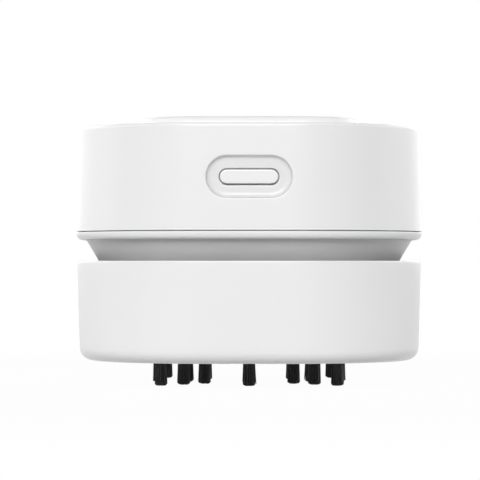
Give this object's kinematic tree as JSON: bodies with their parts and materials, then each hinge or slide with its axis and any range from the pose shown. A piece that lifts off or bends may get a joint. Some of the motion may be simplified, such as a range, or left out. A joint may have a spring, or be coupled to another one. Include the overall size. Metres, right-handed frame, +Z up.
{
  "type": "desktop mini vacuum cleaner",
  "caption": "Palm-sized desktop vacuum: rounded-square head with push button over a dust box standing on black brush tufts.",
  "frame": {"origin": "middle of the underside, in the plane of the bristle tips", "axes": "+Z up, -Y the front with the power button, +X to the right seen from the front"},
  "size_m": [0.084, 0.084, 0.0643],
  "materials": {
    "white_shell": "satin moulded white",
    "white_cap": "satin moulded white",
    "white_button": "polished white",
    "white_underside": "fine matt",
    "grey_neck": "fine matt light grey",
    "bristle": "black nylon bristle",
    "filter_frame": "matt",
    "filter_sheet": "folded non-woven sheet",
    "rubber": "matt",
    "fan": "satin black",
    "steel": "bright",
    "motor_steel": "drawn can",
    "socket_steel": "tinned",
    "brass": "stamped",
    "black_plastic": "matt",
    "circuit_board": "green lacquer",
    "cell_pouch": "silver laminate pouch"
  },
  "bodies": {
    "dust_base": {"dust_box": "white_shell", "inlet_tube": "white_shell", "brush_plate": "white_underside", "inner_tufts": "bristle", "outer_tufts": "bristle", "corner_tufts": "bristle"},
    "filter_insert": {"filter_frame": "filter_frame", "filter_sheet": "filter_sheet"},
    "motor_head": {"exhaust_neck": "grey_neck", "box_seal": "rubber", "fan_inlet_plate": "grey_neck", "motor_deck": "grey_neck", "motor_can": "motor_steel", "motor_end_cap": "black_plastic", "motor_terminals": "brass", "motor_damper": "rubber", "motor_screws": "steel", "casing_screws": "steel", "base_ring": "white_shell", "upper_shell": "white_shell", "top_cap": "white_cap", "switch_body": "black_plastic", "control_board": "circuit_board", "controller_chip": "black_plastic", "battery_cell": "cell_pouch", "battery_cradle": "black_plastic", "charge_board": "circuit_board", "board_screws": "steel", "usb_socket": "socket_steel"},
    "fan_rotor": {"impeller": "fan", "motor_shaft": "steel"},
    "power_key": {"power_button": "white_button", "switch_plunger": "black_plastic"}
  },
  "joints": [
    {"name": "head_lift", "type": "slide", "parent": "dust_base", "child": "motor_head", "axis": [0, 0, 1], "range_m": [0, 0.03]},
    {"name": "filter_lift", "type": "slide", "parent": "dust_base", "child": "filter_insert", "axis": [0, 0, 1], "range_m": [0, 0.015]},
    {"name": "fan_spin", "type": "hinge", "parent": "motor_head", "child": "fan_rotor", "pos_m": [0, 0, 0.031], "axis": [0, 0, 1], "continuous": true},
    {"name": "button_push", "type": "slide", "parent": "motor_head", "child": "power_key", "axis": [0, 1, 0], "range_m": [0, 0.0006], "stiffness_N_per_m": 1200, "springref_m": -0.0006}
  ],
  "couplings": [
    {"joint": "filter_lift", "follows": "head_lift", "ratio": 0.5}
  ]
}
